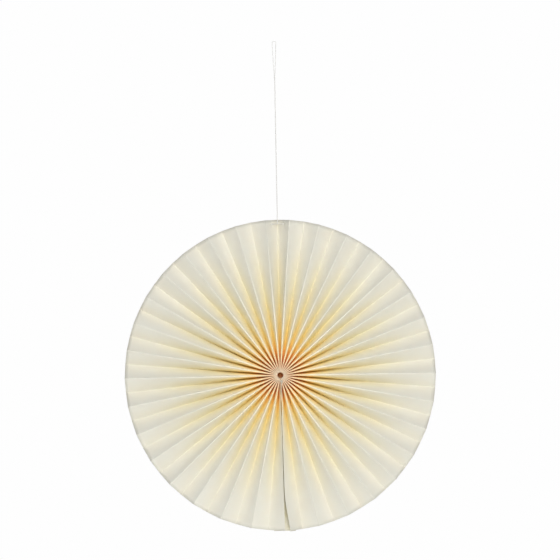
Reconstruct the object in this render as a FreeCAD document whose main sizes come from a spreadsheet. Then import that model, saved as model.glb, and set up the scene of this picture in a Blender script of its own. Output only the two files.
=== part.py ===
"""Pleated paper rosette on a hanging thread, as a parametric document.

The origin is the inside top of the hanging loop, where the nail or hook bears. +Z is up, the
front of the rosette faces -Y and its axis lies along Y. Millimetres and degrees.
"""
import FreeCAD, Part
import math
import os
import Sketcher
from FreeCAD import Placement, Rotation, Vector

PLEATS_PER_SIDE = 16
TIGHTEST_PLEAT = 7
STATIONS = (0, 0.05, 0.15, 0.4, 0.75, 1)

SIZES = {
    # the paper
    "rosette_radius": 150,
    "eye_radius": 3.2,
    "rim_depth": 8.757,
    "paper_thickness": 0.15,
    "crease_gap": 0.06,
    # how far round the hub each pleat reaches, in degrees
    "top_pitch": 8.9,
    "pitch_spread": 0.018,
    "seam_gap": 1.2,
    # the gathering thread at the hub
    "ring_radius": 5.2,
    "ring_inset": 1.6,
    "ring_thread_radius": 0.25,
    "punch_radius": 0.45,
    "notch_width": 1.1,
    "notch_overrun": 1,
    "knot_radius": 1.5,
    "knot_offset": 1.2,
    "tail_length": 16,
    # the card patch over the eye at the back
    "patch_radius": 9,
    "patch_thickness": 0.2,
    # the seam
    "flap_start": 40,
    "flap_width": 12,
    "flap_slope": 1.5,
    "flap_overhang": 1.2,
    "flap_gap": 0.1,
    "tape_start": 55,
    "tape_length": 70,
    "tape_width": 6,
    "tape_thickness": 0.15,
    # the hanging thread
    "loop_height": 34.5,
    "loop_bend_radius": 1.65,
    "hang_length": 140.9,
    "strand_radius": 0.3,
    "thread_radius": 0.5,
    "loop_knot_radius": 1.1,
    "tie_knot_radius": 0.9,
    "tie_inset": 4,
    "tie_hole_radius": 0.5,
    "stopper_radius": 0.9,
    "stopper_gap": 0.5,
}

KNOT_CUT_ANGLE = 55
HUB_HEIGHT = "-(Sizes.loop_height + Sizes.hang_length + Sizes.rosette_radius - Sizes.tie_inset)"
TIE_HEIGHT = "-(Sizes.loop_height + Sizes.hang_length)"


def step_squared(number):
    """How far a pleat is from the tightest one, squared."""
    return (number - TIGHTEST_PLEAT) ** 2


def base_pitch():
    """The tightest pleat's pitch: what closes the circle with the top pleat and the seam gap."""
    spread = sum(step_squared(number) for number in range(1, PLEATS_PER_SIDE + 1))
    left = "180 - Sizes.top_pitch / 2 - Sizes.seam_gap / 2"
    return f"(({left} - Sizes.pitch_spread * {spread}) / {PLEATS_PER_SIDE})"


def pitch(number):
    """The angle that one side pleat takes up; number 0 is the top pleat."""
    if number == 0:
        return "Sizes.top_pitch"
    return f"({base_pitch()} + Sizes.pitch_spread * {step_squared(number)})"


def panel_width():
    """What the widest pleat, next to the seam, needs to keep its depth at the rim."""
    reach = f"Sizes.rosette_radius * tan({pitch(PLEATS_PER_SIDE)} / 2)"
    return f"sqrt(Sizes.rim_depth ^ 2 + ({reach}) ^ 2)"


def ring_forward():
    """How far in front of the mid-plane the gathering thread runs."""
    return f"({panel_width()} / 2 - Sizes.ring_inset)"


def middle_angle(number):
    """The angle from straight up to the middle of a side pleat."""
    before = sum(step_squared(earlier) for earlier in range(1, number))
    spread = before + step_squared(number) / 2
    return f"(Sizes.top_pitch / 2 + {base_pitch()} * {number - 0.5} + Sizes.pitch_spread * {spread})"


def make_sheet(doc):
    sheet = doc.addObject("Spreadsheet::Sheet", "Sizes")
    for row, (name, value) in enumerate(SIZES.items(), start=1):
        sheet.set(f"A{row}", name)
        sheet.set(f"B{row}", str(value))
        sheet.setAlias(f"B{row}", name)
    doc.recompute()
    return sheet


def origin_plane(body, role):
    return next(item for item in body.Origin.OriginFeatures if item.Role == role)


def new_sketch(body, name, role, offset=None):
    sketch = body.newObject("Sketcher::SketchObject", name)
    sketch.AttachmentSupport = [(origin_plane(body, role), "")]
    sketch.MapMode = "FlatFace"
    if offset:
        sketch.setExpression("AttachmentOffset.Base.z", offset)
    return sketch


def bind(sketch, constraint, expression):
    """Add a dimension to a sketch and tie it to the sheet; its own number is only a start."""
    index = sketch.addConstraint(constraint)
    sketch.setExpression(f"Constraints[{index}]", expression)


def draw_outline(sketch, corners):
    """A closed loop of lines through rough corners, which the dimensions then move."""
    points = [Vector(across, up, 0) for across, up in corners]
    for start, end in zip(points, points[1:] + points[:1]):
        sketch.addGeometry(Part.LineSegment(start, end))
    for line in range(len(points)):
        following = (line + 1) % len(points)
        sketch.addConstraint(Sketcher.Constraint("Coincident", line, 2, following, 1))


def place_on_hub(item, angle):
    """Turn a piece about the rosette's axis; its own Z then points out from the hub."""
    item.Placement = Placement(Vector(0, 0, -1), Rotation(Vector(0, 1, 0), 1))
    item.setExpression("Placement.Base.z", HUB_HEIGHT)
    item.setExpression("Placement.Rotation.Angle", angle)


def draw_pleat_section(sketch, radius, pleat_pitch):
    """A V of two paper panels: the valley at the back (+Y), the open side at the front."""
    reach = f"{radius} * tan({pleat_pitch} / 2)"
    panel = panel_width()
    depth = f"sqrt({panel} ^ 2 - ({reach}) ^ 2)"
    half_width = f"{reach} - Sizes.crease_gap / 2"
    edge_width = f"Sizes.paper_thickness * {panel} / {depth}"
    valley_wall = f"Sizes.paper_thickness * {panel} / ({reach})"
    draw_outline(sketch, [(0, 9), (0.6, -9), (0.3, -9), (0, 5), (-0.3, -9), (-0.6, -9)])
    outer_valley, right_outer, right_inner, inner_valley, left_inner, left_outer = range(6)
    y_axis = -2
    for valley in (outer_valley, inner_valley):
        sketch.addConstraint(Sketcher.Constraint("PointOnObject", valley, 1, y_axis))
    sketch.addConstraint(Sketcher.Constraint("Symmetric", left_outer, 1, right_outer, 1, y_axis))
    sketch.addConstraint(Sketcher.Constraint("Symmetric", left_inner, 1, right_inner, 1, y_axis))
    sketch.addConstraint(Sketcher.Constraint("Horizontal", right_outer))
    root = (-1, 1)
    bind(sketch, Sketcher.Constraint("DistanceY", *root, outer_valley, 1, 9), f"{depth} / 2")
    bind(sketch, Sketcher.Constraint("DistanceY", right_outer, 1, *root, 9), f"{depth} / 2")
    bind(sketch, Sketcher.Constraint("DistanceX", *root, right_outer, 1, 0.6), half_width)
    bind(sketch, Sketcher.Constraint("DistanceX", right_inner, 1, right_outer, 1, 0.3), edge_width)
    bind(sketch, Sketcher.Constraint("DistanceY", inner_valley, 1, outer_valley, 1, 4), valley_wall)


def punch(body, name, draw):
    """Cut straight across both panels of a pleat, along its X."""
    sketch = new_sketch(body, f"{name}_outline", "YZ_Plane")
    draw(sketch)
    pocket = body.newObject("PartDesign::Pocket", name)
    pocket.Profile = sketch
    pocket.Type = "ThroughAll"
    pocket.Midplane = True
    return pocket


def draw_circle(sketch, back, out, radius):
    """A circle on a pleat's side plane, from its distances behind and out from the hub."""
    sketch.addGeometry(Part.Circle(Vector(-5, 5, 0), Vector(0, 0, 1), 0.4))
    bind(sketch, Sketcher.Constraint("Radius", 0, 0.4), radius)
    if back is None:
        sketch.addConstraint(Sketcher.Constraint("PointOnObject", 0, 3, -2))
    else:
        bind(sketch, Sketcher.Constraint("DistanceX", 0, 3, -1, 1, 5), back)
    bind(sketch, Sketcher.Constraint("DistanceY", -1, 1, 0, 3, 5), out)


def draw_notch(sketch):
    """A slit from the gathering thread's hole out through the front edge."""
    draw_outline(sketch, [(-10, 4), (-7, 4), (-7, 6), (-10, 6)])
    bottom, back, top, front = range(4)
    for line in (bottom, top):
        sketch.addConstraint(Sketcher.Constraint("Horizontal", line))
    for line in (back, front):
        sketch.addConstraint(Sketcher.Constraint("Vertical", line))
    bind(sketch, Sketcher.Constraint("DistanceX", back, 1, -1, 1, 7), ring_forward())
    bind(sketch, Sketcher.Constraint("DistanceX", front, 2, -1, 1, 10),
         f"{panel_width()} / 2 + Sizes.notch_overrun")
    bind(sketch, Sketcher.Constraint("DistanceY", back, 1, back, 2, 1), "Sizes.notch_width")
    bind(sketch, Sketcher.Constraint("DistanceY", -1, 1, back, 1, 4),
         "Sizes.ring_radius - Sizes.notch_width / 2")


def make_pleat(doc, name, number, angle):
    """One pleat of the folded strip, lofted out from the eye to the rim."""
    body = doc.addObject("PartDesign::Body", name)
    sections = []
    for index, share in enumerate(STATIONS):
        radius = f"(Sizes.eye_radius + {share} * (Sizes.rosette_radius - Sizes.eye_radius))"
        sketch = new_sketch(body, f"{name}_section_{index}", "XY_Plane", radius)
        draw_pleat_section(sketch, radius, pitch(number))
        sections.append(sketch)
    doc.recompute()
    loft = body.newObject("PartDesign::AdditiveLoft", f"{name}_paper")
    loft.Profile = sections[0]
    loft.Sections = sections[1:]
    loft.Ruled = True
    punch(body, f"{name}_punched_hole",
          lambda sketch: draw_circle(sketch, ring_forward(), "Sizes.ring_radius", "Sizes.punch_radius"))
    if number == 0:
        out = "Sizes.rosette_radius - Sizes.tie_inset"
        punch(body, f"{name}_tie_hole",
              lambda sketch: draw_circle(sketch, None, out, "Sizes.tie_hole_radius"))
    if number == PLEATS_PER_SIDE:
        punch(body, f"{name}_knot_notch", draw_notch)
    place_on_hub(body, angle)
    return body


def make_pleats(doc):
    pleats = [make_pleat(doc, "pleat_top", 0, "0")]
    for number in range(1, PLEATS_PER_SIDE + 1):
        angle = middle_angle(number)
        pleats.append(make_pleat(doc, f"pleat_right_{number:02d}", number, angle))
        pleats.append(make_pleat(doc, f"pleat_left_{number:02d}", number, f"-{angle}"))
    return pleats


def make_gathering_ring(doc):
    ring = doc.addObject("Part::Torus", "gathering_thread")
    ring.setExpression("Radius1", "Sizes.ring_radius")
    ring.setExpression("Radius2", "Sizes.ring_thread_radius")
    ring.Placement = Placement(Vector(0, 0, -1), Rotation(Vector(1, 0, 0), 90))
    ring.setExpression("Placement.Base.y", f"-{ring_forward()}")
    ring.setExpression("Placement.Base.z", HUB_HEIGHT)
    return ring


def knot_front():
    """How far in front of the rosette's mid-plane the gathering knot's centre lies."""
    return f"({panel_width()} / 2 + Sizes.knot_radius + Sizes.crease_gap)"


def make_gathering_knot(doc):
    """The knot in front of the seam, with its short lead back to the ring through the notch."""
    ball = doc.addObject("Part::Sphere", "gathering_knot_ball")
    ball.setExpression("Radius", "Sizes.knot_radius")
    ball.setExpression("Placement.Base.x", "Sizes.knot_offset")
    ball.setExpression("Placement.Base.y", f"-{knot_front()}")
    ball.setExpression("Placement.Base.z", f"{HUB_HEIGHT} - Sizes.ring_radius")
    lead = doc.addObject("Part::Cylinder", "gathering_knot_lead")
    lead.setExpression("Radius", "Sizes.ring_thread_radius")
    lead.setExpression("Height", f"{knot_front()} - {ring_forward()}")
    lead.Placement = Placement(Vector(0, 0, -1), Rotation(Vector(1, 0, 0), 90))
    lead.setExpression("Placement.Base.y", f"-{ring_forward()}")
    lead.setExpression("Placement.Base.z", f"{HUB_HEIGHT} - Sizes.ring_radius")
    tied = doc.addObject("Part::Fuse", "gathering_knot_tied")
    tied.Base = ball
    tied.Tool = lead
    knot = doc.addObject("Part::Cut", "gathering_knot")
    knot.Base = tied
    knot.Tool = doc.gathering_thread
    return knot


def make_gathering_tail(doc):
    """The cut end of the gathering thread, hanging from the knot down the seam."""
    tail = doc.addObject("Part::Cylinder", "gathering_tail_whole")
    tail.setExpression("Radius", "Sizes.ring_thread_radius")
    tail.setExpression("Height", "Sizes.tail_length")
    tail.setExpression("Placement.Base.x", "Sizes.knot_offset")
    tail.setExpression("Placement.Base.y", f"-{knot_front()}")
    tail.setExpression("Placement.Base.z", f"{HUB_HEIGHT} - Sizes.ring_radius - Sizes.tail_length")
    trimmed = doc.addObject("Part::Cut", "gathering_tail")
    trimmed.Base = tail
    trimmed.Tool = doc.gathering_knot_ball
    return trimmed


def make_hub_patch(doc):
    """The round of card glued over the eye at the back, which holds the gathered pleats."""
    patch = doc.addObject("Part::Cylinder", "hub_patch")
    patch.setExpression("Radius", "Sizes.patch_radius")
    patch.setExpression("Height", "Sizes.patch_thickness")
    patch.Placement = Placement(Vector(0, 0, -1), Rotation(Vector(1, 0, 0), -90))
    patch.setExpression("Placement.Base.y", f"{panel_width()} / 2")
    patch.setExpression("Placement.Base.z", HUB_HEIGHT)
    return patch


def flap_angle():
    """The flap stands just clear of the last pleat's edge, at the seam's right side."""
    clear = "asin((Sizes.flap_gap + Sizes.paper_thickness / 2) / Sizes.flap_start)"
    return f"(180 - Sizes.seam_gap / 2) * 1 deg + {clear}"


def make_joining_flap(doc):
    """The strip's last narrow panel, turned straight back inside the seam."""
    body = doc.addObject("PartDesign::Body", "joining_flap")
    sketch = new_sketch(body, "joining_flap_outline", "YZ_Plane")
    draw_outline(sketch, [(-8, 40), (3, 50), (3, 151), (-5, 151)])
    inner, back, rim, front = range(4)
    sketch.addConstraint(Sketcher.Constraint("Vertical", back))
    sketch.addConstraint(Sketcher.Constraint("Horizontal", rim))
    bind(sketch, Sketcher.Constraint("DistanceY", -1, 1, inner, 1, 40), "Sizes.flap_start")
    bind(sketch, Sketcher.Constraint("DistanceX", inner, 1, -1, 1, 8),
         "Sizes.rim_depth / 2 + Sizes.flap_slope")
    bind(sketch, Sketcher.Constraint("DistanceY", inner, 1, inner, 2, 6), "Sizes.flap_width / 2")
    bind(sketch, Sketcher.Constraint("DistanceX", front, 1, rim, 1, 8), "Sizes.flap_width")
    bind(sketch, Sketcher.Constraint("DistanceX", front, 1, -1, 1, 5), "Sizes.rim_depth / 2")
    bind(sketch, Sketcher.Constraint("DistanceY", -1, 1, rim, 1, 151),
         "Sizes.rosette_radius + Sizes.flap_overhang")
    pad = body.newObject("PartDesign::Pad", "joining_flap_sheet")
    pad.Profile = sketch
    pad.setExpression("Length", "Sizes.paper_thickness")
    pad.Midplane = True
    place_on_hub(body, flap_angle())
    return body


def make_seam_tape(doc):
    """The adhesive strip on the flap's outer face, between it and the last left pleat."""
    tape = doc.addObject("Part::Box", "seam_tape_strip")
    tape.setExpression("Length", "Sizes.tape_thickness")
    tape.setExpression("Width", "Sizes.tape_width")
    tape.setExpression("Height", "Sizes.tape_length")
    tape.setExpression("Placement.Base.x", "Sizes.paper_thickness / 2")
    tape.setExpression("Placement.Base.y", "-Sizes.tape_width / 2")
    tape.setExpression("Placement.Base.z", "Sizes.tape_start")
    stuck = doc.addObject("Part::Compound", "seam_tape")
    stuck.Links = [tape]
    place_on_hub(stuck, flap_angle())
    return stuck


def report_thread(name, radius, length, volume):
    """Print a thread's radius, and its volume beside its section times its length."""
    expected = math.pi * radius ** 2 * length
    print(f"{name}: radius {radius} mm, length {length:.2f} mm, {volume:.2f} of {expected:.2f} mm3")


def make_hanging_loop(doc, sizes):
    """A narrow teardrop of one strand, with its bend at the origin and its ends on the knot."""
    bend = sizes.loop_bend_radius
    centre = Vector(0, 0, sizes.strand_radius - bend)
    knot_top = sizes.loop_knot_radius * math.sin(math.radians(KNOT_CUT_ANGLE))
    foot = Vector(sizes.strand_radius, 0, knot_top - sizes.loop_height)
    reach = foot - centre
    turn = math.atan2(reach.z, reach.x) + math.acos(bend / reach.Length)
    side = centre + Vector(math.cos(turn), 0, math.sin(turn)) * bend
    top = centre + Vector(0, 0, bend)
    other_foot = Vector(-foot.x, 0, foot.z)
    other_side = Vector(-side.x, 0, side.z)
    path = Part.Wire([
        Part.LineSegment(foot, side).toShape(),
        Part.Arc(side, top, other_side).toShape(),
        Part.LineSegment(other_side, other_foot).toShape(),
    ])
    section = Part.Wire(Part.makeCircle(sizes.strand_radius, foot, Vector(0, 0, 1)))
    loop = doc.addObject("Part::Feature", "hanging_loop")
    loop.Shape = path.makePipeShell([section], True, True)
    report_thread(loop.Label, sizes.strand_radius, path.Length, loop.Shape.Volume)
    return loop


def flat_knot(doc, name, radius, height):
    """A pulled knot: a ball with its top and bottom flattened where the thread goes in."""
    knot = doc.addObject("Part::Sphere", name)
    knot.Angle1 = -KNOT_CUT_ANGLE
    knot.Angle2 = KNOT_CUT_ANGLE
    knot.setExpression("Radius", radius)
    knot.setExpression("Placement.Base.z", height)
    return knot


def make_hanging_thread(doc):
    """The doubled thread, pulled straight between the two knots."""
    thread = doc.addObject("Part::Cylinder", "hanging_thread")
    bottom = f"{TIE_HEIGHT} + Sizes.tie_knot_radius * sin({KNOT_CUT_ANGLE})"
    top = f"-Sizes.loop_height - Sizes.loop_knot_radius * sin({KNOT_CUT_ANGLE})"
    thread.setExpression("Radius", "Sizes.thread_radius")
    thread.setExpression("Height", f"({top}) - ({bottom})")
    thread.setExpression("Placement.Base.z", bottom)
    return thread


def tie_span():
    """Half the width of the top pleat at mid-depth, out to just past its two panels."""
    reach = "(Sizes.rosette_radius - Sizes.tie_inset) * tan(Sizes.top_pitch / 2)"
    return f"({reach} / 2 + Sizes.stopper_gap)"


def make_tie_strand(doc):
    """The short strand through the top pleat's two panels, which carries the rosette."""
    strand = doc.addObject("Part::Cylinder", "tie_strand")
    half_length = f"({tie_span()} + 2 * Sizes.stopper_radius)"
    strand.setExpression("Radius", "Sizes.strand_radius")
    strand.setExpression("Height", f"2 * {half_length}")
    strand.Placement = Placement(Vector(0, 0, -1), Rotation(Vector(0, 1, 0), 90))
    strand.setExpression("Placement.Base.x", f"-{half_length}")
    strand.setExpression("Placement.Base.z", TIE_HEIGHT)
    return strand


def threaded(doc, name, bead):
    """A knot drawn tight round the tie strand, which runs through it."""
    knot = doc.addObject("Part::Cut", name)
    knot.Base = bead
    knot.Tool = doc.tie_strand
    return knot


def make_stopper(doc, side, direction):
    """The knot behind one panel that keeps the tie strand from slipping back out."""
    bead = doc.addObject("Part::Sphere", f"tie_stopper_{side}_bead")
    bead.setExpression("Radius", "Sizes.stopper_radius")
    bead.setExpression("Placement.Base.x", f"{direction} * ({tie_span()} + Sizes.stopper_radius)")
    bead.setExpression("Placement.Base.z", TIE_HEIGHT)
    return threaded(doc, f"tie_stopper_{side}", bead)


def check(pieces):
    """Stop before anything is written if any object failed or any piece isn't one sound solid."""
    for item in pieces[0].Document.Objects:
        if "Invalid" in item.State or "Error" in item.State:
            raise RuntimeError(f"{item.Label} failed: {item.State}")
    for piece in pieces:
        shape = piece.Shape
        if shape.isNull() or not shape.isValid() or len(shape.Solids) != 1:
            raise RuntimeError(f"{piece.Label} is not one valid solid")


def main():
    doc = FreeCAD.newDocument("paper_rosette")
    sizes = make_sheet(doc)
    pieces = make_pleats(doc)
    pieces.append(make_gathering_ring(doc))
    pieces.append(make_gathering_knot(doc))
    pieces.append(make_gathering_tail(doc))
    pieces.append(make_hub_patch(doc))
    pieces.append(make_joining_flap(doc))
    pieces.append(make_seam_tape(doc))
    pieces.append(make_hanging_loop(doc, sizes))
    pieces.append(flat_knot(doc, "loop_knot", "Sizes.loop_knot_radius", "-Sizes.loop_height"))
    pieces.append(make_hanging_thread(doc))
    pieces.append(make_tie_strand(doc))
    tie_bead = flat_knot(doc, "tie_knot_bead", "Sizes.tie_knot_radius", TIE_HEIGHT)
    pieces.append(threaded(doc, "tie_knot", tie_bead))
    pieces.append(make_stopper(doc, "left", -1))
    pieces.append(make_stopper(doc, "right", 1))
    doc.recompute()
    check(pieces)
    thread = doc.hanging_thread
    report_thread(thread.Label, thread.Radius.Value, thread.Height.Value, thread.Shape.Volume)
    os.makedirs("parts", exist_ok=True)
    for piece in pieces:
        piece.Shape.exportStep(f"parts/{piece.Label}.step")
        print(f"{piece.Label}: {piece.Shape.Volume:.2f} mm3")


main()
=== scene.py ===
"""Hanging pleated paper rosette: the looks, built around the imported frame."""
import math

import bmesh
import bpy
from bpy.props import FloatProperty, FloatVectorProperty, PointerProperty
from mathutils import Matrix, Vector, noise


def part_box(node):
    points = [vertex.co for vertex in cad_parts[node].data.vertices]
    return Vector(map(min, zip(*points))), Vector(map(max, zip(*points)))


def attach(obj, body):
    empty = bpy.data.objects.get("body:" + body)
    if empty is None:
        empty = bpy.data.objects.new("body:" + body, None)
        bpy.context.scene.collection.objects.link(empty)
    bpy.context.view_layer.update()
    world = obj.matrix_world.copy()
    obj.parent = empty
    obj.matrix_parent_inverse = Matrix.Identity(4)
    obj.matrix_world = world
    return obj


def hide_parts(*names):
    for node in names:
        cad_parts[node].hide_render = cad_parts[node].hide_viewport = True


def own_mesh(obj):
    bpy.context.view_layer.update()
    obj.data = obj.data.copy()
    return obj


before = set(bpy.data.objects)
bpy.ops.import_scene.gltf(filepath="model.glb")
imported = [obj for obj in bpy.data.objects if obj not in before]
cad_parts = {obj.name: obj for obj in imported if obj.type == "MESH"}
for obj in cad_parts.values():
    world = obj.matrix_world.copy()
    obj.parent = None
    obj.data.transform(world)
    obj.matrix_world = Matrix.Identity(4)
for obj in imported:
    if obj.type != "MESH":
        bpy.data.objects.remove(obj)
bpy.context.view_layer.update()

bl_info = {
    "name": "Pleated paper rosette",
    "version": (1, 0, 0),
    "blender": (4, 5, 0),
    "location": "View3D > Sidebar > Rosette",
    "description": "Builds a hanging pleated paper rosette around its packed frame",
    "category": "Object",
}

MM = 0.001
PLEATS_PER_SIDE = 16
TIGHTEST_PLEAT = 7


def hub_centre():
    """The middle of the gathering ring, on the rosette's mid-plane."""
    low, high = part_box("gathering_thread")
    return Vector((0, 0, (low.z + high.z) / 2))


HUB = hub_centre()


# ---------------------------------------------------------------- sizes and colours

def linear(hex_colour, alpha=1.0):
    """An sRGB hex colour as linear red, green, blue and alpha."""
    channels = []
    for start in (0, 2, 4):
        value = int(hex_colour[start:start + 2], 16) / 255
        if value <= 0.04045:
            channels.append(value / 12.92)
        else:
            channels.append(((value + 0.055) / 1.055) ** 2.4)
    return (*channels, alpha)


def length(name, description, millimetres):
    """A size that the sidebar shows, from millimetres."""
    return FloatProperty(name=name, description=description, default=millimetres * MM,
                         unit="LENGTH", subtype="DISTANCE", precision=5)


def degrees(name, description, value):
    """An angle that the sidebar shows, from degrees."""
    return FloatProperty(name=name, description=description, default=math.radians(value),
                         subtype="ANGLE", unit="ROTATION")


def colour(name, description, hex_colour):
    """A colour that the sidebar shows, from sRGB hex."""
    return FloatVectorProperty(name=name, description=description, size=4, subtype="COLOR",
                               min=0.0, max=1.0, default=linear(hex_colour))


class RosetteSizes(bpy.types.PropertyGroup):
    """The rosette's own sizes, which follow the frame's."""
    radius: length("Radius", "From the hub to the strip's outer edge", 150)
    eye_radius: length("Eye radius", "From the hub to the strip's inner edge", 2.9)
    panel_width: length("Panel width", "The width of one panel between two folds", 18)
    paper: length("Paper thickness", "The card's thickness", 0.15)
    fold_radius: length("Front fold radius", "How sharply the card is creased in front", 0.55)
    valley_radius: length("Valley radius", "How sharply the card is creased at the back", 0.12)
    top_pitch: degrees("Top pleat", "The angle that the top pleat takes up", 8.9)
    pitch_spread: degrees("Spread", "How the pitch grows away from the tightest pleat", 0.018)
    seam_gap: degrees("Seam gap", "The angle left open between the strip's two ends", 1.2)
    bow: length("Panel bow", "How far a panel's middle stands out of flat", 0.35)
    ripple: length("Ripple", "How far the card wanders from its true shape", 0.16)
    flap_depth: length("Flap depth", "How far the joining flap reaches back inside the seam", 12)
    thread: length("Hanging thread", "The doubled hanging thread's diameter", 1.0)
    strand: length("Loop strand", "The diameter of one strand of the hanging thread", 0.6)
    cotton: length("Gathering cotton", "The gathering thread's diameter", 0.5)


class RosetteColours(bpy.types.PropertyGroup):
    """The colours of the card and threads."""
    card: colour("Card", "The card's own cream", "FFFBF0")
    cloud: colour("Fibre cloud", "The card where its fibres lie thicker", "FFF9EC")
    # painted shade: the joining flap's card is darker and olive, as the inside of the seam is
    # shaded
    seam_shade: colour("Seam shade card", "The joining flap's card, darker and olive with painted seam shade", "DDD2A0")
    thread: colour("Hanging thread", "Bleached cotton", "F4F3EF")
    cotton: colour("Gathering cotton", "Unbleached cotton", "E9E2CF")
    tape: colour("Tape", "Aged clear adhesive tape", "D8C98A")


def sizes():
    """The rosette's sizes, as the sidebar has them."""
    return bpy.context.scene.rosette_sizes


def colours():
    """The rosette's colours, as the sidebar has them."""
    return bpy.context.scene.rosette_colours


# ---------------------------------------------------------------- small helpers

def new_piece(name, bm, body, material, replaced=()):
    """A finished mesh piece that rides on a body."""
    mesh = bpy.data.meshes.new(name)
    bm.to_mesh(mesh)
    bm.free()
    piece = bpy.data.objects.new(name, mesh)
    bpy.context.scene.collection.objects.link(piece)
    mesh.materials.append(material)
    for polygon in mesh.polygons:
        polygon.use_smooth = True
    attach(piece, body)
    if replaced:
        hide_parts(*replaced)
    return piece


def add_node(tree, kind, settings=None, inputs=None):
    """Add a node, set its properties, then set its sockets or link them to other sockets."""
    node = tree.nodes.new(kind)
    for key, value in (settings or {}).items():
        setattr(node, key, value)
    for key, value in (inputs or {}).items():
        if isinstance(value, bpy.types.NodeSocket):
            tree.links.new(value, node.inputs[key])
        else:
            node.inputs[key].default_value = value
    return node


def new_material(name):
    """An empty material with only its output node."""
    material = bpy.data.materials.new(name)
    material.use_nodes = True
    tree = material.node_tree
    tree.nodes.clear()
    return material, tree, tree.nodes.new("ShaderNodeOutputMaterial")


# ---------------------------------------------------------------- the folded strip

# the two punched holes: how far out, half their height, and where they lie between back and front
HOLE_OUT = 5.2 * MM
HOLE_HALF = 0.45 * MM
HOLE_SHARES = (0.886, 0.936)
TIE_OUT = 146 * MM
TIE_HALF = 0.5 * MM
TIE_SHARES = (0.464, 0.536)

# the rows and columns of a pleat's mesh
ROWS = 28
CROWDING = 1.35
ROW_CLEAR = 0.6 * MM
ARC_STEPS = 4
PANEL_SHARES = (0.12, 0.22, 0.34, *TIE_SHARES, 0.66, 0.78, *HOLE_SHARES)

# how the panels stray from flat
RIPPLE_SIZE = 45 * MM
BOW_STARTS = 8 * MM
BOW_FULL = 60 * MM

# the seam leans to the right, and the pleats from the first leaning one on go with it
SEAM_LEAN = math.radians(0.8)
FIRST_LEANING = 9

# how far each end fold stands off the seam's middle: at the eye, and more from these distances on
GAP = 0.2 * MM
GAP_MORE = 0.22 * MM
GAP_STARTS = 5 * MM
GAP_FULL = 15 * MM
SLIT = 0.4 * MM
SLIT_OPENS = (22 * MM, 27 * MM)
SLIT_CLOSES = (34 * MM, 39 * MM)
FLARE = 4.6 * MM
FLARE_OPENS = (112 * MM, 158 * MM)


def ease(value, start, end):
    """From 0 at start to 1 at end, with no corner at either."""
    part = min(max((value - start) / (end - start), 0.0), 1.0)
    return part * part * (3 - 2 * part)


def step_squared(number):
    """How far a pleat is from the tightest one, squared."""
    return (number - TIGHTEST_PLEAT) ** 2


def base_pitch():
    """The tightest pleat's pitch, which closes the half circle."""
    s = sizes()
    spread = sum(step_squared(number) for number in range(1, PLEATS_PER_SIDE + 1))
    left = math.pi - s.top_pitch / 2 - s.seam_gap / 2
    return (left - s.pitch_spread * spread) / PLEATS_PER_SIDE


def fold_angle(number, side=1):
    """The angle from straight up to a pleat's outer front fold, on the right side (1) or the
    left (-1). The last few lean a little to the right, as the seam does."""
    s = sizes()
    spread = sum(step_squared(earlier) for earlier in range(1, number + 1))
    lean = SEAM_LEAN * ease(number, FIRST_LEANING, PLEATS_PER_SIDE) * side
    return s.top_pitch / 2 + base_pitch() * number + s.pitch_spread * spread - lean


def on_disc(angle, out, forward=0.0):
    """A point of the rosette from its angle clockwise from up, its distance from the hub and how
    far it stands in front of the mid-plane."""
    return HUB + Vector((out * math.sin(angle), -forward, out * math.cos(angle)))


def seam_edge(out, side):
    """The angle of the strip's right (1) or left (-1) end fold. The two close up to a short slit
    near the hub and part again towards the rim, where the right one springs away."""
    slit = SLIT * ease(out, *SLIT_OPENS) * (1 - ease(out, *SLIT_CLOSES))
    gap = GAP + GAP_MORE * ease(out, GAP_STARTS, GAP_FULL) + slit
    if side > 0:
        gap += FLARE * ease(out, *FLARE_OPENS)
    return math.pi - SEAM_LEAN * side - gap / out


def pleat_names():
    """Every pleat as (node, signed number): 0 is the top one and left numbers are negative."""
    yield "pleat_top", 0
    for number in range(1, PLEATS_PER_SIDE + 1):
        yield f"pleat_right_{number:02d}", number
        yield f"pleat_left_{number:02d}", -number


def folds_at(signed, out):
    """The angles of a pleat's left front fold, valley and right front fold at a distance out."""
    number = abs(signed)
    if number == 0:
        return -fold_angle(0), 0.0, fold_angle(0)
    side = 1 if signed > 0 else -1
    inner = fold_angle(number - 1, side)
    outer = fold_angle(number, side)
    if number == PLEATS_PER_SIDE:
        outer = math.pi - SEAM_LEAN * side
    valley = (inner + outer) / 2
    if number == PLEATS_PER_SIDE:
        outer = seam_edge(out, side)
    if signed < 0:
        return -outer, -valley, -inner
    return inner, valley, outer


def valley_angle(signed):
    """The angle from straight up to a pleat's valley."""
    return folds_at(signed, sizes().radius)[1]


def across(signed):
    """The direction across a pleat, square to its mid-plane."""
    valley = valley_angle(signed)
    return Vector((math.cos(valley), 0, -math.sin(valley)))


def half_section(reach, depth):
    """Half a pleat in section, from its valley to its front fold, as (across, forward) pairs.

    Both folds are small arcs, square to the fold's mirror plane. Near the eye, where the half is
    narrow, they are no wider than their part of it. The slope is found by going round a few times,
    because the arcs take away from the run between them."""
    s = sizes()
    valley = min(s.valley_radius, 0.3 * reach)
    front = min(s.fold_radius, 0.6 * reach)
    slope = math.atan2(depth, reach)
    for _ in range(6):
        slope = math.atan2(depth - (valley + front) * (1 - math.cos(slope)),
                           reach - (valley + front) * math.sin(slope))
    turns = [slope * step / ARC_STEPS for step in range(ARC_STEPS + 1)]
    back_arc = [Vector((valley * math.sin(turn), valley * (1 - math.cos(turn)))) for turn in turns]
    front_arc = [Vector((reach - front * math.sin(turn), depth - front * (1 - math.cos(turn))))
                 for turn in reversed(turns)]
    start, end = back_arc[-1], front_arc[0]
    straight = [start.lerp(end, min(max((share * depth - start.y) / (end.y - start.y), 0), 1))
                for share in PANEL_SHARES]
    return back_arc + straight + front_arc


def panel_reach(out, ridge, valley):
    """How far a panel spans sideways, at a distance out."""
    return 2 * out * math.sin(abs(ridge - valley) / 2)


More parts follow.
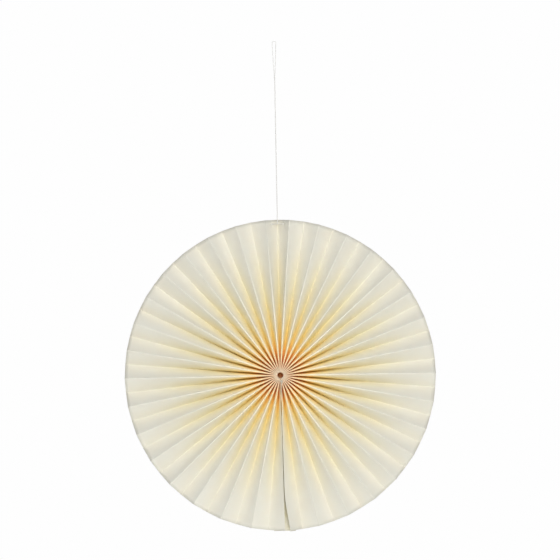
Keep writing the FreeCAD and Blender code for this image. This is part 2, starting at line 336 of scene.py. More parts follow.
def panel_depth(out, ridge, valley):
    """How far a panel spans from back to front, at a distance out."""
    return math.sqrt(sizes().panel_width ** 2 - panel_reach(out, ridge, valley) ** 2)


def valley_back(signed, out):
    """How far the valley lies behind the mid-plane: half the depth of the pleat's inner panel."""
    left, valley, right = folds_at(signed, out)
    return panel_depth(out, right if signed < 0 else left, valley) / 2


def strip_row(signed, out):
    """One row of points across a pleat, each with its UV: how far forward, how far out."""
    left, valley, right = folds_at(signed, out)
    back = valley_back(signed, out)
    halves = []
    for ridge in (left, right):
        reach = panel_reach(out, ridge, valley)
        depth = panel_depth(out, ridge, valley)
        half = []
        for sideways, forward in half_section(reach, depth):
            spot = on_disc(valley, out).lerp(on_disc(ridge, out), sideways / reach)
            spot.y -= forward - back
            # the first UV also places the painted shade: the valleys' at 0, the front folds' at 1
            half.append((spot, (forward / depth, out)))
        halves.append(half)
    return list(reversed(halves[0])) + halves[1][1:]


def lay_out(rows):
    """Extrude the first row of points from row to row into a sheet."""
    bm = bmesh.new()
    strip = bm.loops.layers.uv.new("strip")
    verts = [bm.verts.new(point) for point, _ in rows[0]]
    edges = [bm.edges.new(pair) for pair in zip(verts, verts[1:])]
    place = {vert: uv for vert, (_, uv) in zip(verts, rows[0])}
    for row in rows[1:]:
        made = bmesh.ops.extrude_edge_only(bm, edges=edges)["geom"]
        fresh = {item for item in made if isinstance(item, bmesh.types.BMVert)}
        edges = [item for item in made
                 if isinstance(item, bmesh.types.BMEdge) and fresh.issuperset(item.verts)]
        verts = [next(edge.other_vert(vert) for edge in vert.link_edges
                      if edge.other_vert(vert) in fresh) for vert in verts]
        for vert, (point, uv) in zip(verts, row):
            vert.co = point
            place[vert] = uv
    for face in bm.faces:
        for loop in face.loops:
            loop[strip].uv = place[loop.vert]
    bm.normal_update()
    return bm, place


def wander(point, amount, panel):
    """A small smooth push out of true, different on every panel."""
    far_apart = Vector((panel * 7.3, 0, panel * 3.1))
    spot = (point - HUB) / RIPPLE_SIZE + far_apart
    return noise.noise(spot) * amount


def bow_panels(place, signed):
    """Bow each panel a little and let it ripple, with its folds and the tight hub kept true."""
    s = sizes()
    direction = across(signed)
    push = {}
    for vert, (forward, out) in place.items():
        panel = signed * 2 + (1 if (vert.co - HUB).dot(direction) > 0 else 0)
        inside = math.sin(math.pi * min(max(forward, 0), 1)) * ease(out, BOW_STARTS, BOW_FULL)
        bow = s.bow * 2 * noise.noise(Vector((panel * 1.7, 0.5, 9.1)))
        push[vert] = vert.normal * inside * (bow + wander(vert.co, s.ripple, panel))
    for vert, shift in push.items():
        vert.co += shift


def punch(bm, place, distance, half, shares):
    """Leave out the faces where a hole goes through both panels."""
    hole = []
    for face in bm.faces:
        spots = [place[vert] for vert in face.verts]
        forward = sum(spot[0] for spot in spots) / len(spots)
        out = sum(spot[1] for spot in spots) / len(spots)
        if abs(out - distance) < half and shares[0] < forward < shares[1]:
            hole.append(face)
    bmesh.ops.delete(bm, geom=hole, context="FACES")


def pleat_distances():
    """How far out each row of a pleat lies: close together at the eye, and at each hole's edges."""
    s = sizes()
    reach = s.radius - s.eye_radius
    spread = [s.eye_radius + reach * (step / ROWS) ** CROWDING for step in range(ROWS + 1)]
    exact = [HOLE_OUT - HOLE_HALF, HOLE_OUT + HOLE_HALF, TIE_OUT - TIE_HALF, TIE_OUT + TIE_HALF]
    kept = [out for out in spread if all(abs(out - edge) > ROW_CLEAR for edge in exact)]
    return sorted(kept + exact)


def build_pleat(signed):
    """One pleat's mesh: laid out, bowed and punched."""
    bm, place = lay_out([strip_row(signed, out) for out in pleat_distances()])
    bow_panels(place, signed)
    punch(bm, place, HOLE_OUT, HOLE_HALF, HOLE_SHARES)
    if signed == 0:
        punch(bm, place, TIE_OUT, TIE_HALF, TIE_SHARES)
    bmesh.ops.recalc_face_normals(bm, faces=bm.faces)
    return bm


def thicken(piece, thickness):
    """Give a sheet its thickness, half on each side, the same folded and open."""
    wall = piece.modifiers.new("Thickness", "SOLIDIFY")
    wall.thickness = thickness
    wall.offset = 0.0


def flatten_when_folded(piece, signed):
    """Give a piece a mesh of its own. The direction across its pleat is found but not used."""
    across(signed)
    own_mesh(piece)


def make_pleat_piece(node, signed, material):
    """One pleat of card, which rides on its own body, the top one on the rosette's, and gets a mesh
    of its own.
    """
    body = "rosette" if signed == 0 else node
    piece = new_piece(f"{node}_card", build_pleat(signed), body, material, [node])
    thicken(piece, sizes().paper)
    if signed:
        flatten_when_folded(piece, signed)


# ---------------------------------------------------------------- the seam

LAST_RIGHT = PLEATS_PER_SIDE
LAST_LEFT = -PLEATS_PER_SIDE


def end_panel_point(signed, out, behind):
    """A point on a last pleat's outer panel, from how far behind the front fold it is."""
    left, valley, right = folds_at(signed, out)
    ridge = right if signed > 0 else left
    part = 1 - behind / sizes().panel_width
    spot = on_disc(valley, out).lerp(on_disc(ridge, out), part)
    spot.y -= panel_depth(out, ridge, valley) * part - valley_back(signed, out)
    return spot


def behind_end(signed, out, behind, clear):
    """A point just clear of a last pleat's outer panel, inside the seam."""
    width = sizes().panel_width
    front, back = end_panel_point(signed, out, 0), end_panel_point(signed, out, width)
    outward = (front - HUB) * Vector((1, 0, 1))
    square = (back - front).cross(outward).normalized()
    if square.y < 0:
        square.negate()
    return front.lerp(back, behind / width) + square * clear


FLAP_START = 9 * MM
FLAP_OVERHANG = 0.6 * MM
FLAP_ROWS = 30
FLAP_CLEAR = 0.2 * MM
FLAP_FOLD = 0.25 * MM
FLAP_LEAVES = 8 * MM
FLAP_STEPS = 3
TAPE_START = 55
TAPE_LENGTH = 70
TAPE_ROWS = 24
TAPE_BEHIND = (7, 8, 9, 10, 11)
TAPE_THICKNESS = 0.08 * MM


def flap_row(out):
    """A row across the flap: turned back inside the right end fold, it crosses the seam and lies
    along the back of the left end panel. Its first UV, how far forward, falls along the way."""
    depth = sizes().flap_depth
    # the first UV sets how much of the valleys' painted shade each point of the flap takes
    row = []
    for step in range(FLAP_STEPS + 1):
        behind = FLAP_FOLD + FLAP_LEAVES * step / FLAP_STEPS
        row.append((behind_end(LAST_RIGHT, out, behind, FLAP_CLEAR), (0.9 - 0.05 * step, out)))
    leaving = row[-1][0]
    opening = (leaving - behind_end(LAST_LEFT, out, FLAP_LEAVES, 0)).length
    landing = min(FLAP_LEAVES + opening * 0.6 + 1 * MM, depth - 1 * MM)
    goal = behind_end(LAST_LEFT, out, landing, FLAP_CLEAR)
    for step in range(1, FLAP_STEPS + 1):
        row.append((leaving.lerp(goal, step / FLAP_STEPS), (0.7 - 0.03 * step, out)))
    for step in range(1, FLAP_STEPS + 1):
        behind = landing + (depth - landing) * step / FLAP_STEPS
        row.append((behind_end(LAST_LEFT, out, behind, FLAP_CLEAR), (0.6 - 0.1 * step, out)))
    return row


def make_flap(material):
    """The joining flap, from just outside the gathering thread to a little past the rim."""
    reach = sizes().radius + FLAP_OVERHANG - FLAP_START
    distances = [FLAP_START + reach * step / FLAP_ROWS for step in range(FLAP_ROWS + 1)]
    bm, _ = lay_out([flap_row(out) for out in distances])
    bmesh.ops.recalc_face_normals(bm, faces=bm.faces)
    flap = new_piece("joining_flap_card", bm, "pleat_right_16", material,
                     ["joining_flap"])
    thicken(flap, sizes().paper)
    flatten_when_folded(flap, LAST_RIGHT)


def make_tape(material):
    """A thin strip on the flap's face, where it lies along the left end panel."""
    rows = []
    for step in range(TAPE_ROWS + 1):
        out = (TAPE_START + TAPE_LENGTH * step / TAPE_ROWS) * MM
        rows.append([(behind_end(LAST_LEFT, out, behind * MM, FLAP_CLEAR / 2), (0.6, out))
                     for behind in TAPE_BEHIND])
    bm, _ = lay_out(rows)
    bmesh.ops.recalc_face_normals(bm, faces=bm.faces)
    tape = new_piece("seam_tape_strip", bm, "pleat_right_16", material,
                     ["seam_tape"])
    thicken(tape, TAPE_THICKNESS)
    flatten_when_folded(tape, LAST_RIGHT)


# ---------------------------------------------------------------- the patch

PATCH_SEGMENTS = 132
PATCH_INSETS = (0.5, 1.5, 2, 2)
PATCH_THICKNESS = 0.2 * MM
PRESSED = 0.05 * MM
LIFTED = 0.1 * MM
ALL_PLEATS = 2 * PLEATS_PER_SIDE + 1


def make_patch(material):
    """A round patch of card pasted over the eye at the back, with the ends of the valleys pressed
    into it."""
    radius, behind = node_half("hub_patch").x, node_middle("hub_patch").y
    bm = bmesh.new()
    bmesh.ops.create_circle(bm, cap_ends=True, segments=PATCH_SEGMENTS, radius=radius)
    for depth in PATCH_INSETS:
        bmesh.ops.inset_region(bm, faces=[max(bm.faces, key=lambda face: len(face.verts))],
                               thickness=depth * MM, use_even_offset=True)
    strip = bm.loops.layers.uv.new("strip")
    for vert in bm.verts:
        out = vert.co.length
        turn = math.atan2(vert.co.x, vert.co.y)
        pressed = PRESSED * math.cos(ALL_PLEATS * turn) * ease(out, 3 * MM, 5 * MM)
        lifted = LIFTED * noise.noise(vert.co / (6 * MM)) * ease(out, 6 * MM, radius)
        vert.co = HUB + Vector((vert.co.x, behind + pressed + lifted, vert.co.y))
    # the patch takes the front folds' painted shade for its distance from the hub
    for face in bm.faces:
        for loop in face.loops:
            loop[strip].uv = (1.0, (loop.vert.co - HUB).length)
    bmesh.ops.recalc_face_normals(bm, faces=bm.faces)
    patch = new_piece("hub_patch_card", bm, "rosette", material, ["hub_patch"])
    thicken(patch, PATCH_THICKNESS)


# ---------------------------------------------------------------- threads and knots

PLIES = 2
PLY_SWELL = 1.08
# how far along a thread its plies go once round
THREAD_LAY = 4.5 * MM
STRAND_LAY = 2.6 * MM
COTTON_LAY = 2.2 * MM
KNOT_LAY = 1.8 * MM


def smooth_line(points, closed=False):
    """Points read along a NURBS line that has these control points."""
    curve = bpy.data.curves.new("route", "CURVE")
    curve.dimensions = "3D"
    curve.resolution_u = 16
    spline = curve.splines.new("NURBS")
    spline.points.add(len(points) - 1)
    for control, point in zip(spline.points, points):
        control.co = (*point, 1.0)
    spline.order_u = 3
    spline.use_cyclic_u = closed
    spline.use_endpoint_u = not closed
    carrier = bpy.data.objects.new("route", curve)
    mesh = bpy.data.meshes.new_from_object(carrier)
    line = [vert.co.copy() for vert in mesh.vertices]
    bpy.data.meshes.remove(mesh)
    bpy.data.objects.remove(carrier)
    bpy.data.curves.remove(curve)
    return line


def even_line(line, step, closed=False):
    """The same line with its points a fixed step apart."""
    points = line + [line[0]] if closed else list(line)
    lengths = [(b - a).length for a, b in zip(points, points[1:])]
    total = sum(lengths)
    count = max(int(total / step), 4)
    even, index, gone = [], 0, 0.0
    for number in range(count if closed else count + 1):
        goal = total * number / count
        while index < len(lengths) - 1 and gone + lengths[index] < goal:
            gone += lengths[index]
            index += 1
        part = (goal - gone) / lengths[index] if lengths[index] else 0
        even.append(points[index].lerp(points[index + 1], min(part, 1)))
    return even


def helix(line, offset, lay, phase, closed):
    """A strand's own path: wound round the line, one turn in each lay length."""
    wound = []
    side = Vector((0, -1, 0.02)).normalized()
    total = sum((b - a).length for a, b in zip(line, line[1:]))
    turns = total / lay
    if closed:
        turns = round(turns)
    count = len(line)
    for index, point in enumerate(line):
        before = line[index - 1] if index or closed else point
        after = line[(index + 1) % count] if index + 1 < count or closed else point
        ahead = (after - before).normalized()
        side = (side - ahead * side.dot(ahead)).normalized()
        other = ahead.cross(side)
        turn = phase + math.tau * turns * index / (count if closed else count - 1)
        wound.append(point + side * offset * math.cos(turn) + other * offset * math.sin(turn))
    return wound


def spun(name, line, diameter, lay, closed=False):
    """Two plies twisted together along a line, as one mesh of the given overall diameter. Each
    ply is a little over half as thick as the whole, so the two press into each other."""
    ply = diameter / 2 * 0.5 * PLY_SWELL
    offset = diameter / 2 - ply
    curve = bpy.data.curves.new(name, "CURVE")
    curve.dimensions = "3D"
    curve.bevel_depth = ply
    curve.bevel_resolution = 2
    curve.use_fill_caps = not closed
    for number in range(PLIES):
        path = helix(line, offset, lay, math.tau * number / PLIES, closed)
        spline = curve.splines.new("POLY")
        spline.points.add(len(path) - 1)
        spline.use_cyclic_u = closed
        for control, point in zip(spline.points, path):
            control.co = (*point, 1.0)
    carrier = bpy.data.objects.new(name, curve)
    mesh = bpy.data.meshes.new_from_object(carrier)
    bm = bmesh.new()
    bm.from_mesh(mesh)
    bpy.data.meshes.remove(mesh)
    bpy.data.objects.remove(carrier)
    bpy.data.curves.remove(curve)
    return bm


def knot_line(centre, half_width, half_height, strand, turn=0.0):
    """A small overhand knot pulled tight: a three-lobed closed line standing upright."""
    points = []
    for step in range(24):
        t = math.tau * step / 24
        x = (math.sin(t) + 2 * math.sin(2 * t)) / 3
        z = (math.cos(t) - 2 * math.cos(2 * t)) / 3
        y = -math.sin(3 * t)
        spot = Vector((x * (half_width - strand), y * (half_width - strand) * 0.62,
                       z * (half_height - strand)))
        spot.rotate(Matrix.Rotation(turn, 3, "Z"))
        points.append(centre + spot)
    return smooth_line(points, closed=True)


def node_middle(node):
    """The middle of a node's box."""
    low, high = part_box(node)
    return (Vector(low) + Vector(high)) / 2


def node_half(node):
    """Half the size of a node's box."""
    low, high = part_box(node)
    return (Vector(high) - Vector(low)) / 2


def make_knot(node, body, material, thread, turn=0.0):
    """A tied knot the size of the node it stands for."""
    half = node_half(node)
    line = even_line(knot_line(node_middle(node), half.x, half.z, thread / 2, turn),
                     thread * 0.3, closed=True)
    bm = spun(node, line, thread, thread * 3.2, closed=True)
    return new_piece(f"{node}_tied", bm, body, material, [node])


def make_hanging_thread(material):
    """Two strands twisted together, pulled straight from the tie up to the loop's knot."""
    low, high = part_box("hanging_thread")
    low, high = Vector(low), Vector(high)
    bottom = Vector((0, 0, low.z))
    top = Vector((0, 0, high.z))
    route = smooth_line([bottom, bottom.lerp(top, 0.04), bottom.lerp(top, 0.5),
                         bottom.lerp(top, 0.96), top])
    line = even_line(route, 0.35 * MM)
    s = sizes()
    bm = spun("hanging_thread", line, s.thread, THREAD_LAY)
    thread = new_piece("hanging_thread_twist", bm, "thread", material,
                       ["hanging_thread"])
    loop = make_loop(material)
    knot = make_knot("loop_knot", "thread", material, s.strand * 0.8)


def make_loop(material):
    """The narrow loop at the top, one strand that goes up, round and down again."""
    low, high = (Vector(corner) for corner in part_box("hanging_loop"))
    half = sizes().strand / 2
    wide = high.x - half
    top, foot = high.z - half, low.z
    tall = top - foot
    outline = ((0.3 * MM, 0), (0.36 * wide, 0.2), (0.72 * wide, 0.52), (0.98 * wide, 0.84),
               (1.06 * wide, 0.955), (0.8 * wide, 1.012))
    right = [Vector((x, 0, foot + tall * up)) for x, up in outline]
    left = [Vector((-point.x, 0, point.z)) for point in reversed(right)]
    line = even_line(smooth_line(right + left), 0.22 * MM)
    bm = spun("hanging_loop", line, sizes().strand, STRAND_LAY)
    return new_piece("hanging_loop_strand", bm, "thread", material,
                     ["hanging_loop"])


def make_tie(material):
    """The short strand through the top pleat, its knot with the thread and its two stoppers."""
    low, high = (Vector(corner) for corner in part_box("tie_strand"))
    middle = (low + high) / 2
    ends = [Vector((low.x, middle.y, middle.z)), Vector((high.x, middle.y, middle.z))]
    dip = Vector((0, 0, -0.12 * MM))
    route = smooth_line([ends[0], ends[0].lerp(middle, 0.5) + dip, middle,
                         ends[1].lerp(middle, 0.5) + dip, ends[1]])
    s = sizes()
    bm = spun("tie_strand", even_line(route, 0.2 * MM), s.strand, STRAND_LAY)
    new_piece("tie_strand_twist", bm, "tie", material, ["tie_strand"])
    make_knot("tie_knot", "tie", material, s.strand * 0.66, turn=0.6)
    make_knot("tie_stopper_left", "tie", material, s.strand * 0.66, turn=1.4)
    make_knot("tie_stopper_right", "tie", material, s.strand * 0.66, turn=2.1)


def make_gathering(material):
    """The gathering thread: a ring through the pleats, its knot in front and its cut tail."""
    s = sizes()
    half = node_half("gathering_thread")
    middle = node_middle("gathering_thread")
    radius = half.x - s.cotton / 2
    ring = [middle + Vector((radius * math.sin(math.tau * step / 96), 0,
                             radius * math.cos(math.tau * step / 96))) for step in range(96)]
    bm = spun("gathering_thread", even_line(ring, 0.2 * MM, True), s.cotton, COTTON_LAY, True)
    new_piece("gathering_thread_twist", bm, "rosette", material,
              ["gathering_thread"])
    knot_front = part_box("gathering_knot")[0][1]
    tail_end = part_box("gathering_tail")[0][2]
    centre = Vector((node_middle("gathering_tail").x, knot_front + 1.5 * MM,
                     HUB.z - HOLE_OUT - 0.9 * MM))
    line = even_line(knot_line(centre, 1.5 * MM, 2.3 * MM, 0.35 * MM, 0.4), 0.15 * MM, True)
    bm = spun("gathering_knot", line, 0.75 * MM, KNOT_LAY, True)
    new_piece("gathering_knot_tied", bm, "rosette", material,
              ["gathering_knot"])
    tail = [centre, centre + Vector((0.1, -0.1, -3)) * MM, centre + Vector((-0.5, 0.3, -7)) * MM,
            centre + Vector((-0.1, 0.5, -11)) * MM,
            Vector((centre.x + 0.5 * MM, centre.y + 0.5 * MM, tail_end))]
    bm = spun("gathering_tail", even_line(smooth_line(tail), 0.2 * MM), s.cotton, COTTON_LAY)
    new_piece("gathering_tail_twist", bm, "rosette", material,
              ["gathering_tail"])


# ---------------------------------------------------------------- materials

# painted shade: the card darker and warmer towards the hub and in the valleys, a little grey at the
# rim, where light and shade fall between the folds
PAINTED_FOLD_SHADES = (
    # how far out in mm, the front folds' painted shade there, the valleys' painted shade there
    (3, "FFF4E2", "FFF0DA"),
    (7, "FDE6CC", "F8DAB8"),
    (9.5, "FADCBC", "F1CDA4"),
    (13, "FCE4BE", "F5D29C"),
    (18, "FFF3CE", "F9E2A4"),
    (26, "FFF9DE", "FAF0B8"),
    (36, "FEFBEC", "F6F0C4"),
    (52, "FBFAF1", "F1ECCE"),
    (80, "F3F4EF", "EDEBDB"),
    (125, "ECEEED", "ECEDEA"),
)


def card_material(name, plain, cloud):
    """Uncoated cream card, machine made and creased: dead matt, with a faint cloud of fibre. Light
    that has gone to and fro between the narrow walls near the hub comes back straw and orange. Two
    colour ramps by the distance from the hub, one in the valleys and one on the front folds, paint
    more of that into the card's colour: painted shade, darker and warmer towards the hub and in the
    valleys, and a little grey out at the rim."""
    material, tree, output = new_material(name)
    strip = add_node(tree, "ShaderNodeUVMap", {"uv_map": "strip"})
    axes = add_node(tree, "ShaderNodeSeparateXYZ", inputs={"Vector": strip.outputs["UV"]})
    place = add_node(tree, "ShaderNodeTexCoord")
    rim = sizes().radius
    share_out = add_node(tree, "ShaderNodeMath", {"operation": "DIVIDE"},
                         {0: axes.outputs["Y"], 1: rim})
    front = add_node(tree, "ShaderNodeValToRGB", inputs={"Fac": share_out.outputs[0]})
    valley = add_node(tree, "ShaderNodeValToRGB", inputs={"Fac": share_out.outputs[0]})
    for ramp, column in ((front.color_ramp, 1), (valley.color_ramp, 2)):
        while len(ramp.elements) < len(PAINTED_FOLD_SHADES):
            ramp.elements.new(1.0)
        for stop, shade_row in zip(ramp.elements, PAINTED_FOLD_SHADES):
            stop.position = shade_row[0] * MM / rim
            stop.color = linear(shade_row[column])
    # the valleys' painted shade gives way to the front folds' lighter painted shade over most of a
    # panel's depth
    rise = add_node(tree, "ShaderNodeMapRange", {"interpolation_type": "SMOOTHSTEP"}, {
        "Value": axes.outputs["X"], "From Min": 0.1, "From Max": 0.95})
    painted_shade = add_node(tree, "ShaderNodeMix", {"data_type": "RGBA"}, {
        0: rise.outputs[0], 6: valley.outputs["Color"], 7: front.outputs["Color"]})
    # clouds of fibre about 14 mm across
    clouds = add_node(tree, "ShaderNodeTexNoise", inputs={
        "Vector": place.outputs["Object"], "Scale": 1 / (14 * MM), "Detail": 4.0,
        "Roughness": 0.6})
    uneven = add_node(tree, "ShaderNodeMapRange", inputs={
        "Value": clouds.outputs["Fac"], "From Min": 0.3, "From Max": 0.7})
    paper = add_node(tree, "ShaderNodeMix", {"data_type": "RGBA"}, {
        0: uneven.outputs[0], 6: plain, 7: cloud})
    # the painted shade is multiplied into the card's own colour
    base = add_node(tree, "ShaderNodeMix", {"data_type": "RGBA", "blend_type": "MULTIPLY"}, {
        0: 1.0, 6: paper.outputs[2], 7: painted_shade.outputs[2]})
    # single fibres, drawn 0.5 mm apart so that they show
    fibres = add_node(tree, "ShaderNodeTexNoise", inputs={
        "Vector": place.outputs["Object"], "Scale": 1 / (0.5 * MM), "Detail": 3.0,
        "Roughness": 0.7})
    bump = add_node(tree, "ShaderNodeBump", inputs={
        "Height": fibres.outputs["Fac"], "Strength": 0.2, "Distance": 0.05 * MM})
    card = add_node(tree, "ShaderNodeBsdfPrincipled", inputs={
        "Base Color": base.outputs[2], "Roughness": 0.9, "IOR": 1.5,
        "Specular IOR Level": 0.25, "Normal": bump.outputs["Normal"]})
    through = add_node(tree, "ShaderNodeBsdfTranslucent", inputs={"Color": base.outputs[2]})
    mixed = add_node(tree, "ShaderNodeMixShader", inputs={
        0: 0.03, 1: card.outputs[0], 2: through.outputs[0]})
    tree.links.new(mixed.outputs[0], output.inputs["Surface"])
    return material


def thread_material(name, yarn):
    """Spun cotton: short fibres twisted into plies, so it is matt and a little downy, with fine
    darker lines between its fibres."""
    material, tree, output = new_material(name)
    place = add_node(tree, "ShaderNodeTexCoord")
    # bundles of fibre, drawn 0.12 mm apart so that they show
    fibres = add_node(tree, "ShaderNodeTexNoise", inputs={
        "Vector": place.outputs["Object"], "Scale": 1 / (0.12 * MM), "Detail": 2.0})
    base = add_node(tree, "ShaderNodeMix", {"data_type": "RGBA"}, {
        0: fibres.outputs["Fac"], 6: [channel * 0.72 for channel in yarn[:3]] + [1.0], 7: yarn})
    bump = add_node(tree, "ShaderNodeBump", inputs={
        "Height": fibres.outputs["Fac"], "Strength": 0.6, "Distance": 0.04 * MM})
    cotton = add_node(tree, "ShaderNodeBsdfPrincipled", inputs={
        "Base Color": base.outputs[2], "Roughness": 0.85, "IOR": 1.53, "Sheen Weight": 0.3,
        "Sheen Roughness": 0.5, "Specular IOR Level": 0.3, "Normal": bump.outputs["Normal"]})
    tree.links.new(cotton.outputs[0], output.inputs["Surface"])
    return material


def tape_material():
    """Clear double-sided tape gone yellow: a thin glossy film with cloudy glue under it."""
    material, tree, output = new_material("Aged double-sided tape")
    place = add_node(tree, "ShaderNodeTexCoord")
    glue = add_node(tree, "ShaderNodeTexNoise", inputs={
        "Vector": place.outputs["Object"], "Scale": 1 / (5 * MM), "Detail": 3.0})
    c = colours().tape
    dark = (c[0] * 0.7, c[1] * 0.66, c[2] * 0.5, 1.0)
    base = add_node(tree, "ShaderNodeMix", {"data_type": "RGBA"},
                    {0: glue.outputs["Fac"], 6: dark, 7: c})
    rough = add_node(tree, "ShaderNodeMapRange", inputs={
        "Value": glue.outputs["Fac"], "To Min": 0.2, "To Max": 0.5})
    film = add_node(tree, "ShaderNodeBsdfPrincipled", inputs={
        "Base Color": base.outputs[2], "Roughness": rough.outputs[0], "IOR": 1.46})
    tree.links.new(film.outputs[0], output.inputs["Surface"])
    return material


def stage_material():
    """Matt white studio paper with a faint tooth."""
    material, tree, output = new_material("White studio paper")
    place = add_node(tree, "ShaderNodeTexCoord")
    tooth = add_node(tree, "ShaderNodeTexNoise", inputs={
        "Vector": place.outputs["Object"], "Scale": 60.0, "Detail": 2.0})
    bump = add_node(tree, "ShaderNodeBump", inputs={
        "Height": tooth.outputs["Fac"], "Strength": 0.05, "Distance": 0.2 * MM})
    paper = add_node(tree, "ShaderNodeBsdfPrincipled", inputs={
        "Base Color": linear("F4F4F2"), "Roughness": 0.9, "Normal": bump.outputs["Normal"]})
    tree.links.new(paper.outputs[0], output.inputs["Surface"])
    return material


# ---------------------------------------------------------------- the stage

FLOOR_RADIUS = 2.4
FLOOR_BELOW_HUB = 0.45


def make_floor(scene):
    """A round pale floor, well below the rosette."""
    bm = bmesh.new()
    bmesh.ops.create_circle(bm, cap_ends=True, segments=64, radius=FLOOR_RADIUS)
    bmesh.ops.translate(bm, verts=bm.verts, vec=(0, 0, HUB.z - FLOOR_BELOW_HUB))
    mesh = bpy.data.meshes.new("floor")
    bm.to_mesh(mesh)
    bm.free()
    floor = bpy.data.objects.new("floor", mesh)
    mesh.materials.append(stage_material())
    scene.collection.objects.link(floor)
    return floor


def area_light(scene, name, place, size, power):
    """A white soft box at a place seen from the hub, turned towards the hub."""
    light = bpy.data.lights.new(name, "AREA")
    light.shape = "SQUARE"
    light.size = size
    light.energy = power
    lamp = bpy.data.objects.new(name, light)
    lamp.location = HUB + Vector(place)
    lamp.rotation_euler = (HUB - lamp.location).to_track_quat("-Z", "Y").to_euler()
    scene.collection.objects.link(lamp)
    return lamp


def make_light(scene, floor):
    """A white surround that is a weak fill and shows as white, with a soft box in front and one
    behind."""
    world = bpy.data.worlds.new("white studio")
    world.use_nodes = True
    tree = world.node_tree
    tree.nodes.clear()
    output = tree.nodes.new("ShaderNodeOutputWorld")
    path = add_node(tree, "ShaderNodeLightPath")
    fill = add_node(tree, "ShaderNodeBackground", inputs={
        "Color": linear("FFFFFF"), "Strength": 0.13})
    seen = add_node(tree, "ShaderNodeBackground", inputs={
        "Color": linear("FEFEFE"), "Strength": 1.0})
    mixed = add_node(tree, "ShaderNodeMixShader", inputs={
        0: path.outputs["Is Camera Ray"], 1: fill.outputs[0], 2: seen.outputs[0]})
    tree.links.new(mixed.outputs[0], output.inputs["Surface"])
    scene.world = world
    area_light(scene, "key", place=(0.2, -2.2, 0.8), size=0.8, power=36)
    area_light(scene, "back fill", place=(-0.9, 2.4, 0.9), size=1.2, power=26)
    # a lamp for the floor alone, so that it stays pale behind the rosette
    over = area_light(scene, "floor", place=(0, 0, 2.6), size=2.5, power=45)
    floor_only = bpy.data.collections.new("floor only")
    floor_only.objects.link(floor)
    over.light_linking.receiver_collection = floor_only
    scene.view_settings.view_transform = "Standard"
    # light goes to and fro many times between the narrow walls of the folds
    scene.cycles.max_bounces = 40
    scene.cycles.diffuse_bounces = 32
    scene.cycles.transmission_bounces = 32


VIEW_WIDTH = 540.2 * MM
AIM_LEFT = 0.3 * MM
AIM_UP = 91.8 * MM
CAMERA_DISTANCE = 6.0
CAMERA_ROLL = 1.1
SENSOR = 36.0


def make_camera(scene):
    """A long lens square on to the rosette, with the hub low in the frame."""
    data = bpy.data.cameras.new("camera")
    data.sensor_width = SENSOR
    data.lens = SENSOR * CAMERA_DISTANCE / VIEW_WIDTH
    camera = bpy.data.objects.new("camera", data)
    roll = math.radians(CAMERA_ROLL)
    right = Vector((math.cos(roll), 0, -math.sin(roll)))
    up = Vector((math.sin(roll), 0, math.cos(roll)))
    forward = Vector((0, 1, 0))
    aim = HUB - right * AIM_LEFT + up * AIM_UP
    camera.matrix_world = Matrix((right, up, -forward)).transposed().to_4x4()
    camera.location = aim - forward * CAMERA_DISTANCE
    data.clip_end = 50
    scene.collection.objects.link(camera)
    scene.camera = camera


# ---------------------------------------------------------------- operators

class ROSETTE_OT_pleats(bpy.types.Operator):
    """Make the pleats of creased card"""
    bl_idname = "rosette.pleats"
    bl_label = "Pleats"

    def execute(self, context):
        c = colours()
        card = card_material("Uncoated cream card", c.card, c.cloud)
        for node, signed in pleat_names():
            make_pleat_piece(node, signed, card)
        make_patch(card)
        # painted shade: the flap's card is darker and olive, for the shaded inside of the seam
        make_flap(card_material("Cream card with painted seam shade", c.seam_shade, c.cloud))
        return {"FINISHED"}


class ROSETTE_OT_seam_tape(bpy.types.Operator):
    """Make the adhesive strip inside the seam"""
    bl_idname = "rosette.seam_tape"
    bl_label = "Seam tape"

    def execute(self, context):
        make_tape(tape_material())
        return {"FINISHED"}


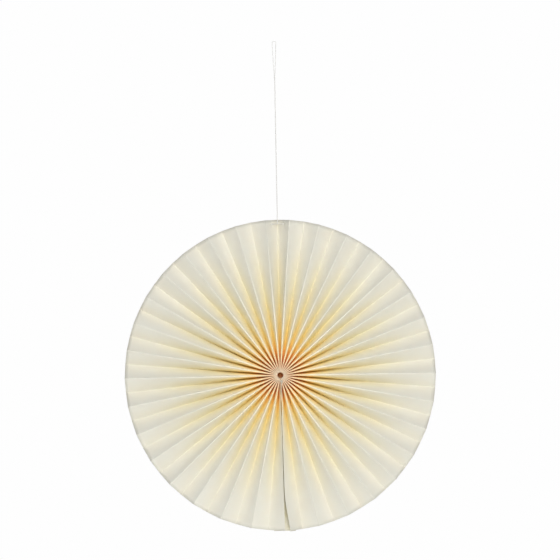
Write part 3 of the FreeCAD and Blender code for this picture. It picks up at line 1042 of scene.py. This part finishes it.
class ROSETTE_OT_threads(bpy.types.Operator):
    """Make the hanging thread, its loop and its tie"""
    bl_idname = "rosette.threads"
    bl_label = "Hanging thread"

    def execute(self, context):
        material = thread_material("Bleached cotton thread", colours().thread)
        make_hanging_thread(material)
        make_tie(material)
        return {"FINISHED"}


class ROSETTE_OT_gathering(bpy.types.Operator):
    """Make the gathering thread, its knot and its tail"""
    bl_idname = "rosette.gathering"
    bl_label = "Gathering thread"

    def execute(self, context):
        make_gathering(thread_material("Unbleached cotton thread", colours().cotton))
        return {"FINISHED"}


class ROSETTE_OT_stage(bpy.types.Operator):
    """Make the floor, the studio light and the camera"""
    bl_idname = "rosette.stage"
    bl_label = "Stage"

    def execute(self, context):
        make_light(context.scene, make_floor(context.scene))
        make_camera(context.scene)
        return {"FINISHED"}


# ---------------------------------------------------------------- the add-on

class ROSETTE_PT_panel(bpy.types.Panel):
    """The rosette's sizes and colours, with a button for each group of pieces"""
    bl_label = "Paper rosette"
    bl_idname = "ROSETTE_PT_panel"
    bl_space_type = "VIEW_3D"
    bl_region_type = "UI"
    bl_category = "Rosette"

    def draw(self, context):
        for group in (context.scene.rosette_sizes, context.scene.rosette_colours):
            box = self.layout.box()
            for name in group.__annotations__:
                box.prop(group, name)
        for operator in OPERATORS:
            self.layout.operator(operator.bl_idname)


OPERATORS = (ROSETTE_OT_stage, ROSETTE_OT_threads, ROSETTE_OT_gathering, ROSETTE_OT_pleats,
             ROSETTE_OT_seam_tape)
CLASSES = (RosetteSizes, RosetteColours, *OPERATORS, ROSETTE_PT_panel)


def register():
    """Make the classes known, and give the scene its sizes and colours."""
    for item in CLASSES:
        bpy.utils.register_class(item)
    bpy.types.Scene.rosette_sizes = PointerProperty(type=RosetteSizes)
    bpy.types.Scene.rosette_colours = PointerProperty(type=RosetteColours)


def unregister():
    """Take away everything that register added."""
    del bpy.types.Scene.rosette_colours
    del bpy.types.Scene.rosette_sizes
    for item in reversed(CLASSES):
        bpy.utils.unregister_class(item)


def main():
    """Make the stage and every piece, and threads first."""
    register()
    bpy.ops.rosette.stage()
    bpy.ops.rosette.threads()
    bpy.ops.rosette.gathering()
    bpy.ops.rosette.pleats()
    bpy.ops.rosette.seam_tape()


if __name__ == "__main__":
    main()
